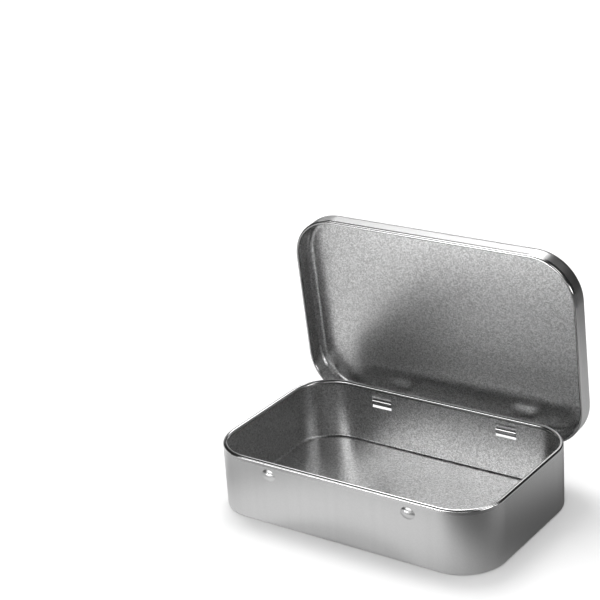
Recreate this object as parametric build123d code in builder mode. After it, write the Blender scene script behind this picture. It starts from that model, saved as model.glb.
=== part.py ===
from build123d import *
from math import asin, atan2, cos, degrees, hypot, radians, sin, sqrt
import os

os.makedirs("parts", exist_ok=True)

# The frame, in millimetres: +X along the hinge, +Y to the rear, origin at the centre of the base's underside.

# Sheet of both pieces, and how far a curled rim is rolled round from the wall's outer face
sheet = 0.25
rim_curl_angle = 285

# The base
base_length = 92.3
base_width = 57.9
base_height = 20.1
base_corner_radius = 13.4
base_edge_radius = 1.0
base_curl = 1.5

# The lid, and the room that it leaves round the closed base
lid_depth = 6.75
lid_corner_radius = 14.1
lid_edge_radius = 2.4
lid_curl = 0.9
side_room = 1.35
front_room = 1.7
rear_room = 1.6
plate_room = 0.1

# The hinge: the lid's curled tabs turn on straps that stand out behind windows in the base's rear wall
hinge_spacing = 43.6
open_angle = 84.5
stop_gap = 0.15
hinge_inset = 0.8
tab_length = 6.8
tab_curl = 2.4
tab_curl_angle = 290
tab_end_room = 0.1
strap_height = 0.9
strap_bend = 0.35
notch_side_room = 0.35
notch_level = 2.6
window_bottom = 12.6
window_top = 17.05

# The two snap bumps that the lid's front rim slips over
bump_spacing = 46.8
bump_level = 16.1
bump_length = 4.7
bump_height = 3.7
bump_rise = 0.65

# Sizes that follow from those above. A window is as wide as the space between its strap's two legs.
lid_length = base_length + 2 * side_room
lid_width = base_width + front_room + rear_room
lid_rear = base_width / 2 + rear_room
lid_top = base_height + plate_room + sheet
lid_rim = lid_top - lid_depth
half_window = tab_length / 2 + tab_end_room

# At full opening the lid's rim stops just short of the rear wall.
axis_y = lid_rear - hinge_inset
opened_up = sin(radians(open_angle))
opened_out = cos(radians(open_angle))
rim_behind_axis = hinge_inset - lid_curl / 2
rim_at_stop = base_width / 2 + stop_gap + lid_curl / 2 - axis_y
rim_over_axis = (rim_at_stop - rim_behind_axis * opened_out) / opened_up
axis_z = lid_rim + lid_curl / 2 - rim_over_axis

# The tab leans out from the notch's top to its curl, which it meets at this angle above the axis
tab_lean = degrees(asin(tab_curl / 2 / hypot(hinge_inset, notch_level)) - atan2(hinge_inset, notch_level))


def drawn_tray(length, width, corner_radius, face_level, rim_level, edge_radius, curl):
    """A tray of drawn sheet: flat face, rounded edge, straight walls, round corners and curled rim."""
    way = 1 if rim_level > face_level else -1
    edge = (-edge_radius, face_level + way * edge_radius)
    rim = (-curl / 2, rim_level - way * curl / 2)
    straight_x = length / 2 - corner_radius
    straight_y = width / 2 - corner_radius
    with BuildSketch() as section:
        with BuildLine():
            CenterArc(edge, edge_radius, -90 * way, 90 * way)
            Line((0, edge[1]), (0, rim[1]))
            outer = CenterArc(rim, curl / 2, 0, rim_curl_angle * way)
            inner = CenterArc(rim, curl / 2 - sheet, 0, rim_curl_angle * way)
            Line(outer @ 1, inner @ 1)
            Line((-sheet, rim[1]), (-sheet, edge[1]))
            CenterArc(edge, edge_radius - sheet, -90 * way, 90 * way)
            Line((-edge_radius, face_level), (-edge_radius, face_level + way * sheet))
        make_face()
    with BuildPart() as tray:
        for turn in (0, 90, 180, 270):
            outward = Vector(1, 0, 0).rotate(Axis.Z, turn)
            along = Vector(0, -1, 0).rotate(Axis.Z, turn)
            reach, run = (width / 2, straight_x) if turn % 180 else (length / 2, straight_y)
            with BuildSketch(Plane(origin=outward * reach, x_dir=outward, z_dir=along)):
                add(section.sketch)
            extrude(amount=run, both=True)
            side_end = outward * reach - along * run
            with BuildSketch(Plane(origin=side_end, x_dir=outward, z_dir=along)):
                add(section.sketch)
            revolve(axis=Axis(side_end - outward * corner_radius, (0, 0, 1)), revolution_arc=90)
        with BuildSketch(Plane.XY.offset(face_level)):
            RectangleRounded(length - 2 * edge_radius, width - 2 * edge_radius, corner_radius - edge_radius)
        extrude(amount=way * sheet)
    return tray.part


def bump_form(skin):
    """A long round swelling on the front wall, with its surface set in by the skin and its foot deeper yet."""
    long_radius = ((bump_length / 2) ** 2 + bump_rise**2) / (2 * bump_rise)
    cross_radius = ((bump_height / 2) ** 2 + bump_rise**2) / (2 * bump_rise)
    crown = -base_width / 2 - bump_rise
    spine = crown + cross_radius
    foot = skin + sheet - base_width / 2
    half_foot = sqrt((long_radius - skin) ** 2 - (crown + long_radius - foot) ** 2)
    with BuildPart() as form:
        with BuildSketch(Plane.XY.offset(bump_level)):
            with BuildLine():
                ThreePointArc((-half_foot, foot), (0, crown + skin), (half_foot, foot))
                Polyline((half_foot, foot), (half_foot, spine), (-half_foot, spine), (-half_foot, foot))
            make_face()
        revolve(axis=Axis((0, spine, bump_level), (1, 0, 0)))
    return form.part


base_tray = drawn_tray(
    base_length, base_width, base_corner_radius, 0, base_height, base_edge_radius, base_curl
)
lid_tray = drawn_tray(
    lid_length, lid_width, lid_corner_radius, lid_top, lid_rim, lid_edge_radius, lid_curl
)
bump_solid = bump_form(0)
bump_hollow = bump_form(sheet)

# The bump's skin stands on the wall and goes no deeper than half the sheet
with BuildPart() as snap_bump:
    add(bump_solid)
    split(bisect_by=Plane.XZ.offset(base_width / 2 - sheet / 2), keep=Keep.TOP)

with BuildPart() as tin_base:
    add(base_tray)
    with Locations((-bump_spacing / 2, 0, 0), (bump_spacing / 2, 0, 0)):
        add(snap_bump.part)
        add(bump_hollow, mode=Mode.SUBTRACT)
    with BuildSketch(Plane.XZ.offset(sheet / 2 - base_width / 2)):
        with Locations((0, (window_bottom + window_top) / 2)):
            with GridLocations(hinge_spacing, 0, 2, 1):
                Rectangle(2 * half_window, window_top - window_bottom)
    extrude(amount=sheet, both=True, mode=Mode.SUBTRACT)
    for side in (-1, 1):
        left = side * hinge_spacing / 2 - half_window - sheet
        right = side * hinge_spacing / 2 + half_window + sheet
        with BuildSketch(Plane.XY.offset(axis_z - strap_height / 2)):
            with BuildLine():
                FilletPolyline(
                    (left, base_width / 2 - sheet),
                    (left, axis_y + sheet / 2),
                    (right, axis_y + sheet / 2),
                    (right, base_width / 2 - sheet),
                    radius=strap_bend,
                )
                offset(amount=sheet, side=Side.RIGHT)
            make_face()
        extrude(amount=strap_height)

# The lid is formed closed, on the base
with BuildPart() as closed_lid:
    with Locations((0, (rear_room - front_room) / 2, 0)):
        add(lid_tray)
    notch_bottom = lid_rim - sheet
    notch_top = axis_z + notch_level
    with BuildSketch(Plane.XZ.offset(-lid_rear)):
        with Locations((0, (notch_bottom + notch_top) / 2)):
            with GridLocations(hinge_spacing, 0, 2, 1):
                Rectangle(2 * (half_window + sheet + notch_side_room), notch_top - notch_bottom)
    extrude(amount=lid_curl + sheet, both=True, mode=Mode.SUBTRACT)
    for side in (-1, 1):
        with BuildSketch(Plane.YZ.offset(side * hinge_spacing / 2)):
            with BuildLine():
                outside = CenterArc((axis_y, axis_z), tab_curl / 2, tab_lean, -tab_curl_angle)
                inside = CenterArc((axis_y, axis_z), tab_curl / 2 - sheet, tab_lean, -tab_curl_angle)
                Polyline(outside @ 0, (lid_rear, notch_top), (lid_rear - sheet, notch_top), inside @ 0)
                Line(outside @ 1, inside @ 1)
            make_face()
        extrude(amount=tab_length / 2, both=True)

# Opened about the hinge's axis, as far as its stop
with BuildPart() as tin_lid:
    with Locations(Location((0, axis_y, axis_z), (-open_angle, 0, 0)) * Location((0, -axis_y, -axis_z))):
        add(closed_lid.part)

tin_base.part.label = "tin_base"
export_step(tin_base.part, "parts/tin_base.step")

tin_lid.part.label = "tin_lid"
export_step(tin_lid.part, "parts/tin_lid.step")
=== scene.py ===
import bpy
import math
from mathutils import Matrix, Vector

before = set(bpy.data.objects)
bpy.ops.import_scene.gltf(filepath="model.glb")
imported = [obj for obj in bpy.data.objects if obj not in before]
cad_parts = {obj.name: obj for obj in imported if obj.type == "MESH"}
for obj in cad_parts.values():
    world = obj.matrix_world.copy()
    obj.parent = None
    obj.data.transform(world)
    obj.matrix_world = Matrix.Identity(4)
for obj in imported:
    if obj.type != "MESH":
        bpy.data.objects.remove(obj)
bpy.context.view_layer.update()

# Lengths are in metres and angles in degrees. Azimuth 0 is the tin's front and 90 its right.
MM = 0.001

# Camera, at the photograph's viewpoint: it aims at a point that lies across and up from the start
CAMERA_AZIMUTH = 36.587
CAMERA_ELEVATION = 21.994
CAMERA_ROLL = -4.2335
CAMERA_DISTANCE = 518.08 * MM
CAMERA_FOCAL_PIXELS = 1772.0
CAMERA_NEAR = 10 * MM
CAMERA_FAR = 50
PHOTO_PIXELS = 600
SENSOR_WIDTH_IN_MM = 36.0
AIM_START = Vector((0, 0, 10 * MM))
AIM_ACROSS = -23.305 * MM
AIM_UP = 51.657 * MM

# The lamp that casts the shadow, and the light from all round it
LAMP_AZIMUTH = -130
LAMP_ELEVATION = 64
LAMP_DISTANCE = 0.9
LAMP_SIDE = 0.45
LAMP_RADIANCE = 7.1
LAMP_AIM = Vector((0, 10 * MM, 30 * MM))
AMBIENT = 0.99
BACKGROUND = 1.0

FLOOR_REACH = 20
FLOOR_GREY = 0.85

# Painted reflection above the table: a glowing dome, no lamp, that only the metal's reflections
# show, dark with soft painted lights, each as its azimuth, elevation, half width and half height,
# and its brightness
DOME_RADIUS = 1.0
DOME_BASE_GLOW = 0.03
PAINTED_DOME_LIGHTS = [
    (11.2, 31.6, 49.8, 6.6, 0.63),
    (-17.8, 25.9, 22, 7.8, 4),
    (-151.1, 50.1, 22.3, 13.1, 5.7),
    (91.8, 12.9, 18.2, 6.5, 6),
    (23.3, -0.6, 23.3, 9.9, 1.49),
    (107.3, 55.2, 33.5, 13.6, 2.3),
    (-133.3, 58.5, 18, 8.8, 5.28),
    (-143, 14, 25, 9, 0.6),
]

# Painted reflection of the table: a glowing card, no lamp, that the metal reflects in place of the
# floor;
# it is dark as painted shade, with soft painted lit parts, each as its azimuth, distance, half
# width in degrees, half depth as the logarithm of a ratio of distances, and its brightness
TABLE_BASE_GLOW = 0.13
PAINTED_TABLE_LIGHTS = [
    (-12, 0.049, 72, 0.37, 0.84),
    (-76, 0.105, 45, 0.38, 0.6),
    (-20.6, 0.335, 20, 0.79, 9),
    (-90, 0.072, 16, 0.22, 0.45),
    (127.8, 0.11, 46.2, 0.54, 0.44),
    (-110, 0.22, 40, 0.5, 0.6),
    (-10, 0.03, 50, 0.15, 0.38),
]

# How finely the painted reflections of the dome and the table are divided, in degrees and in rings
AZIMUTH_STEP = 3
ELEVATION_STEP = 2
DOME_TOP_RADIUS = 1 * MM
TABLE_START = 20 * MM
TABLE_HEIGHT = 0.1 * MM
TABLE_STEPS = 40

# Tinplate: matt with a fine grain on its inner side, smoother with faint upright drawing marks on
# its outer side, and polished where it is curled
TIN_GREY = 0.6
TIN_ROUGHNESS = 0.28
TIN_MOTTLE = 0.65
GRAINS_PER_METRE = 3300
GRAIN_TILT = 0.05
OUTER_GRAIN = 0.06
STREAKS_PER_METRE = 500
STREAK_STRETCH = 0.04
STREAK_MOTTLE = 0.04
RIM_ROUGHNESS = 0.12
TEXTURE_MEAN = 0.5

# Where each piece's sheet is, with the lid closed: half length, half width, corner radius, level
# and side of its face, and edge radius
BASE_SHEET = (46.15 * MM, 28.95 * MM, 13.4 * MM, 0, -1, 1.0 * MM)
LID_SHEET = (47.5 * MM, 30.6 * MM, 14.1 * MM, 20.45 * MM, 1, 2.4 * MM)

# How deep in the sheet its look changes from the inner side's to the outer side's
INNER_SIDE = -0.2 * MM
OUTER_SIDE = -0.1 * MM

# Where the base turns from matt to polished: up to its rim, and back to the straps behind its wall
BASE_RIM_START = 18.5 * MM
BASE_RIM_END = 18.9 * MM
STRAPS_START = 29.0 * MM
STRAPS_END = 29.15 * MM

# Where the closed lid does so, down to its rim, and the hinge that it opens on
LID_RIM_START = 15.2 * MM
LID_RIM_END = 14.8 * MM
HINGE = Vector((0, 29.75 * MM, 14.384 * MM))
OPEN_ANGLE = 84.5


def link_to_scene(thing):
    bpy.context.scene.collection.objects.link(thing)


def direction(azimuth, elevation):
    """The unit vector that points that way from the tin."""
    azimuth, elevation = math.radians(azimuth), math.radians(elevation)
    flat = math.cos(elevation)
    return Vector((math.sin(azimuth) * flat, -math.cos(azimuth) * flat, math.sin(elevation)))


def add_camera():
    azimuth = math.radians(CAMERA_AZIMUTH)
    roll = math.radians(CAMERA_ROLL)
    back = direction(CAMERA_AZIMUTH, CAMERA_ELEVATION)
    right = Vector((math.cos(azimuth), math.sin(azimuth), 0))
    up = back.cross(right)
    aim = AIM_START + AIM_ACROSS * right + AIM_UP * up
    rolled_right = math.cos(roll) * right + math.sin(roll) * up
    rolled_up = -math.sin(roll) * right + math.cos(roll) * up
    place = Matrix((rolled_right, rolled_up, back)).transposed().to_4x4()
    place.translation = aim + back * CAMERA_DISTANCE
    lens = bpy.data.cameras.new("camera")
    lens.sensor_width = SENSOR_WIDTH_IN_MM
    lens.lens = CAMERA_FOCAL_PIXELS / PHOTO_PIXELS * SENSOR_WIDTH_IN_MM
    lens.clip_start = CAMERA_NEAR
    lens.clip_end = CAMERA_FAR
    camera = bpy.data.objects.new("camera", lens)
    camera.matrix_world = place
    link_to_scene(camera)
    bpy.context.scene.camera = camera


def add_lamp():
    light = bpy.data.lights.new("key_lamp", "AREA")
    light.shape = "RECTANGLE"
    light.size = LAMP_SIDE
    light.size_y = LAMP_SIDE
    light.energy = LAMP_RADIANCE * math.pi * LAMP_SIDE * LAMP_SIDE
    lamp = bpy.data.objects.new("key_lamp", light)
    away = direction(LAMP_AZIMUTH, LAMP_ELEVATION)
    lamp.location = LAMP_AIM + away * LAMP_DISTANCE
    lamp.rotation_euler = away.to_track_quat("Z", "Y").to_euler()
    lamp.visible_glossy = False
    link_to_scene(lamp)


def combined(nodes, links, operation, first, second=0.0):
    """One number from two, each of which is a socket or a plain number."""
    step = nodes.new("ShaderNodeMath")
    step.operation = operation
    for socket, value in zip(step.inputs, (first, second)):
        if isinstance(value, (int, float)):
            socket.default_value = value
        else:
            links.new(value, socket)
    return step.outputs[0]


def fall(nodes, links, value, start, end):
    """1 up to the start, then falling to 0 at the end."""
    step = nodes.new("ShaderNodeMapRange")
    step.inputs["From Min"].default_value = start
    step.inputs["From Max"].default_value = end
    step.inputs["To Min"].default_value = 1.0
    step.inputs["To Max"].default_value = 0.0
    links.new(value, step.inputs["Value"])
    return step.outputs["Result"]


def new_group(name, entries, exits):
    """An empty node group, its entry node and its exit node."""
    group = bpy.data.node_groups.new(name, "ShaderNodeTree")
    for in_out, sockets in (("INPUT", entries), ("OUTPUT", exits)):
        for socket in sockets:
            kind = "NodeSocketVector" if socket in ("Vector", "Normal") else "NodeSocketFloat"
            group.interface.new_socket(socket, in_out=in_out, socket_type=kind)
    return group, group.nodes.new("NodeGroupInput"), group.nodes.new("NodeGroupOutput")


def depth_group():
    """How far a point lies outside the outer surface of a round-cornered tray, negative inside."""
    group, entry, leave = new_group(
        "sheet_depth",
        ("Vector", "Half Length", "Half Width", "Corner Radius", "Face Level", "Face Side",
         "Edge Radius"),
        ("Depth",))
    nodes, links = group.nodes, group.links
    given = entry.outputs
    corner = given["Corner Radius"]
    edge = given["Edge Radius"]

    def step(operation, first, second=0.0):
        return combined(nodes, links, operation, first, second)

    def length(one, other):
        return step("SQRT", step("ADD", step("MULTIPLY", one, one), step("MULTIPLY", other, other)))

    parts = nodes.new("ShaderNodeSeparateXYZ")
    links.new(given["Vector"], parts.inputs["Vector"])
    past = []
    for axis, half in (("X", "Half Length"), ("Y", "Half Width")):
        straight = step("SUBTRACT", given[half], corner)
        away = step("ABSOLUTE", parts.outputs[axis])
        past.append(step("MAXIMUM", step("SUBTRACT", away, straight)))
    from_wall = step("SUBTRACT", length(*past), corner)
    from_level = step("SUBTRACT", parts.outputs["Z"], given["Face Level"])
    from_face = step("MULTIPLY", from_level, given["Face Side"])
    across = step("MAXIMUM", step("ADD", from_wall, edge))
    along = step("MAXIMUM", step("ADD", from_face, edge))
    links.new(step("SUBTRACT", length(across, along), edge), leave.inputs["Depth"])
    return group


def surface_group():
    """The sheet's surface, from where it is matt and where it is its inner side.

    Each grain has a tilt and a grey of its own, and the outer side has faint streaks.
    """
    group, entry, leave = new_group(
        "tinplate_surface", ("Vector", "Matt", "Inner"), ("Grey", "Roughness", "Normal"))
    nodes, links = group.nodes, group.links
    place = entry.outputs["Vector"]
    matt = entry.outputs["Matt"]
    inner = entry.outputs["Inner"]

    def step(operation, first, second=0.0):
        return combined(nodes, links, operation, first, second)

    def vector_step(operation, first):
        node = nodes.new("ShaderNodeVectorMath")
        node.operation = operation
        links.new(first, node.inputs[0])
        return node

    inner_share = step("MULTIPLY", inner, 1.0 - OUTER_GRAIN)
    share = step("MULTIPLY", step("ADD", inner_share, OUTER_GRAIN), matt)
    cells = nodes.new("ShaderNodeTexVoronoi")
    cells.inputs["Scale"].default_value = GRAINS_PER_METRE
    links.new(place, cells.inputs["Vector"])
    chance = vector_step("SUBTRACT", cells.outputs["Color"])
    chance.inputs[1].default_value = 3 * [TEXTURE_MEAN]
    tilt = vector_step("SCALE", chance.outputs[0])
    links.new(step("MULTIPLY", share, GRAIN_TILT), tilt.inputs["Scale"])
    surface = nodes.new("ShaderNodeNewGeometry")
    tilted = vector_step("ADD", surface.outputs["Normal"])
    links.new(tilt.outputs[0], tilted.inputs[1])
    normal = vector_step("NORMALIZE", tilted.outputs[0])
    links.new(normal.outputs[0], leave.inputs["Normal"])

    parts = nodes.new("ShaderNodeSeparateXYZ")
    links.new(chance.outputs[0], parts.inputs["Vector"])
    grain = step("MULTIPLY", parts.outputs["X"], share)
    drawn = nodes.new("ShaderNodeMapping")
    drawn.inputs["Scale"].default_value = (1, 1, STREAK_STRETCH)
    links.new(place, drawn.inputs["Vector"])
    noise = nodes.new("ShaderNodeTexNoise")
    noise.inputs["Detail"].default_value = 0
    noise.inputs["Scale"].default_value = STREAKS_PER_METRE
    links.new(drawn.outputs["Vector"], noise.inputs["Vector"])
    outer = step("MULTIPLY", step("SUBTRACT", 1.0, inner), matt)
    streaks = step("MULTIPLY", step("SUBTRACT", noise.outputs["Fac"], TEXTURE_MEAN), outer)
    grain_part = step("MULTIPLY", grain, TIN_MOTTLE * TIN_GREY)
    streak_part = step("MULTIPLY", streaks, STREAK_MOTTLE * TIN_GREY)
    grey = step("ADD", step("ADD", grain_part, streak_part), TIN_GREY)
    links.new(grey, leave.inputs["Grey"])

    rougher = step("MULTIPLY", matt, TIN_ROUGHNESS - RIM_ROUGHNESS)
    links.new(step("ADD", rougher, RIM_ROUGHNESS), leave.inputs["Roughness"])
    return group


DEPTH = depth_group()
SURFACE = surface_group()


def base_place(nodes, links):
    """Where the point is on the base."""
    place = nodes.new("ShaderNodeTexCoord")
    return place.outputs["Object"]


def lid_place(nodes, links):
    """Where the point is when the lid is closed."""
    angle = math.radians(OPEN_ANGLE)
    closed = nodes.new("ShaderNodeMapping")
    closed.inputs["Rotation"].default_value = (angle, 0, 0)
    closed.inputs["Location"].default_value = HINGE - Matrix.Rotation(angle, 3, "X") @ HINGE
    links.new(base_place(nodes, links), closed.inputs["Vector"])
    return closed.outputs["Vector"]


def base_matt(nodes, links, parts):
    """1 on the base's matt sheet, 0 on its polished rim and straps."""
    below_rim = fall(nodes, links, parts.outputs["Z"], BASE_RIM_START, BASE_RIM_END)
    before_straps = fall(nodes, links, parts.outputs["Y"], STRAPS_START, STRAPS_END)
    return combined(nodes, links, "MULTIPLY", below_rim, before_straps)


def lid_matt(nodes, links, parts):
    """1 on the lid's matt sheet, 0 on its polished rim and tabs."""
    down = combined(nodes, links, "MULTIPLY", parts.outputs["Z"], -1.0)
    return fall(nodes, links, down, -LID_RIM_START, -LID_RIM_END)


def tinplate(name, sheet, where, matt):
    """The material of one piece, given its sheet's sizes, its place and its matt part."""
    material = bpy.data.materials.new(name)
    material.use_nodes = True
    nodes, links = material.node_tree.nodes, material.node_tree.links
    place = where(nodes, links)
    parts = nodes.new("ShaderNodeSeparateXYZ")
    links.new(place, parts.inputs["Vector"])
    depth = nodes.new("ShaderNodeGroup")
    depth.node_tree = DEPTH
    links.new(place, depth.inputs["Vector"])
    for entry, value in zip(list(depth.inputs)[1:], sheet):
        entry.default_value = value
    inner = fall(nodes, links, depth.outputs["Depth"], INNER_SIDE, OUTER_SIDE)
    surface = nodes.new("ShaderNodeGroup")
    surface.node_tree = SURFACE
    links.new(place, surface.inputs["Vector"])
    links.new(matt(nodes, links, parts), surface.inputs["Matt"])
    links.new(inner, surface.inputs["Inner"])
    shader = nodes["Principled BSDF"]
    shader.inputs["Metallic"].default_value = 1.0
    links.new(surface.outputs["Grey"], shader.inputs["Base Color"])
    links.new(surface.outputs["Roughness"], shader.inputs["Roughness"])
    links.new(surface.outputs["Normal"], shader.inputs["Normal"])
    return material


def dress(node, material):
    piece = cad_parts[node]
    piece.data.materials.clear()
    piece.data.materials.append(material)


def add_stage(name, points, faces, material):
    """A mesh that belongs to the studio and not to the tin."""
    mesh = bpy.data.meshes.new(name)
    mesh.from_pydata(points, [], faces)
    mesh.materials.append(material)
    thing = bpy.data.objects.new(name, mesh)
    link_to_scene(thing)
    return thing


def add_floor():
    material = bpy.data.materials.new("floor")
    material.use_nodes = True
    shader = material.node_tree.nodes["Principled BSDF"]
    shader.inputs["Base Color"].default_value = (FLOOR_GREY, FLOOR_GREY, FLOOR_GREY, 1)
    shader.inputs["Roughness"].default_value = 1.0
    shader.inputs["Specular IOR Level"].default_value = 0
    signs = ((-1, -1), (1, -1), (1, 1), (-1, 1))
    corners = [(x * FLOOR_REACH, y * FLOOR_REACH, 0) for x, y in signs]
    add_stage("floor", corners, [(0, 1, 2, 3)], material)


def soft_edge(away):
    """1 round 0, falling softly through a third at 1 or -1 to 0."""
    return math.exp(-away ** 4)


def azimuth_between(one, other):
    """From -180 to 180."""
    return (one - other + 180) % 360 - 180


# The painted dome's glow at this azimuth and elevation, a painted reflection on the metal
def painted_dome_glow(azimuth, elevation):
    grey = DOME_BASE_GLOW
    for light_azimuth, light_elevation, half_width, half_height, brightness in PAINTED_DOME_LIGHTS:
        across = azimuth_between(azimuth, light_azimuth) / half_width
        up = (elevation - light_elevation) / half_height
        grey += brightness * soft_edge(across) * soft_edge(up)
    return grey


# The painted table reflection's glow, painted light and shade, at this azimuth and distance
def painted_table_glow(azimuth, distance):
    grey = TABLE_BASE_GLOW
    for light_azimuth, light_distance, half_width, half_depth, brightness in PAINTED_TABLE_LIGHTS:
        across = azimuth_between(azimuth, light_azimuth) / half_width
        out = math.log(distance / light_distance) / half_depth
        grey += brightness * soft_edge(across) * soft_edge(out)
    return grey


def glow_material(name):
    """Light of the strength that the mesh's attribute named grey gives."""
    material = bpy.data.materials.new(name)
    material.use_nodes = True
    nodes, links = material.node_tree.nodes, material.node_tree.links
    nodes.remove(nodes["Principled BSDF"])
    grey = nodes.new("ShaderNodeAttribute")
    grey.attribute_name = "grey"
    glow = nodes.new("ShaderNodeEmission")
    links.new(grey.outputs["Fac"], glow.inputs["Strength"])
    links.new(glow.outputs[0], nodes["Material Output"].inputs["Surface"])
    return material


def add_card(name, rings):
    """Glowing quads between rings of (radius, height, glow strengths), a painted reflection that
    only the metal's reflections show.
    """
    points, glow_strengths, faces = [], [], []
    count = 360 // AZIMUTH_STEP
    for radius, height, ring_glows in rings:
        for step in range(count):
            azimuth = math.radians(step * AZIMUTH_STEP)
            points.append((radius * math.sin(azimuth), -radius * math.cos(azimuth), height))
        glow_strengths += ring_glows
    for start in range(0, len(points) - count, count):
        for step in range(count):
            one, other = start + step, start + (step + 1) % count
            faces.append((one, other, other + count, one + count))
    card = add_stage(name, points, faces, glow_material(name))
    # The attribute named grey holds each point's glow strength for the painted reflection
    card.data.attributes.new("grey", "FLOAT", "POINT").data.foreach_set("value", glow_strengths)
    card.visible_camera = False
    card.visible_diffuse = False
    card.visible_shadow = False
    card.visible_transmission = False


def add_cards():
    azimuths = range(0, 360, AZIMUTH_STEP)
    # The glowing dome, a painted reflection of lights and dark surroundings
    dome = []
    for elevation in range(0, 91, ELEVATION_STEP):
        up = math.radians(elevation)
        radius = max(DOME_RADIUS * math.cos(up), DOME_TOP_RADIUS)
        glow_strengths = [painted_dome_glow(azimuth, elevation) for azimuth in azimuths]
        dome.append((radius, DOME_RADIUS * math.sin(up), glow_strengths))
    add_card("painted_dome_reflection", dome)
    # The glowing table card, a painted reflection of the table's light and shade
    table = []
    for step in range(TABLE_STEPS + 1):
        radius = TABLE_START * (DOME_RADIUS / TABLE_START) ** (step / TABLE_STEPS)
        glow_strengths = [painted_table_glow(azimuth, radius) for azimuth in azimuths]
        table.append((radius, TABLE_HEIGHT, glow_strengths))
    add_card("painted_table_reflection", table)


def any_ray(nodes, links, *kinds):
    """1 for a ray of one of these kinds, else 0."""
    path = nodes.new("ShaderNodeLightPath")
    total = path.outputs[kinds[0]]
    for kind in kinds[1:]:
        total = combined(nodes, links, "MAXIMUM", total, path.outputs[kind])
    return total


def add_world():
    """White behind the tin, and the ambient light on the floor."""
    world = bpy.data.worlds.new("world")
    bpy.context.scene.world = world
    world.use_nodes = True
    nodes, links = world.node_tree.nodes, world.node_tree.links
    background = nodes["Background"]
    background.inputs["Color"].default_value = (1, 1, 1, 1)
    level = nodes.new("ShaderNodeMapRange")
    level.inputs["To Min"].default_value = AMBIENT
    level.inputs["To Max"].default_value = BACKGROUND
    seen = any_ray(nodes, links, "Is Camera Ray", "Is Glossy Ray", "Is Transmission Ray")
    links.new(seen, level.inputs["Value"])
    links.new(level.outputs["Result"], background.inputs["Strength"])


add_camera()
add_floor()
add_cards()
add_lamp()
add_world()
dress("tin_base", tinplate("base_tinplate", BASE_SHEET, base_place, base_matt))
dress("tin_lid", tinplate("lid_tinplate", LID_SHEET, lid_place, lid_matt))
bpy.context.scene.view_settings.view_transform = "Standard"
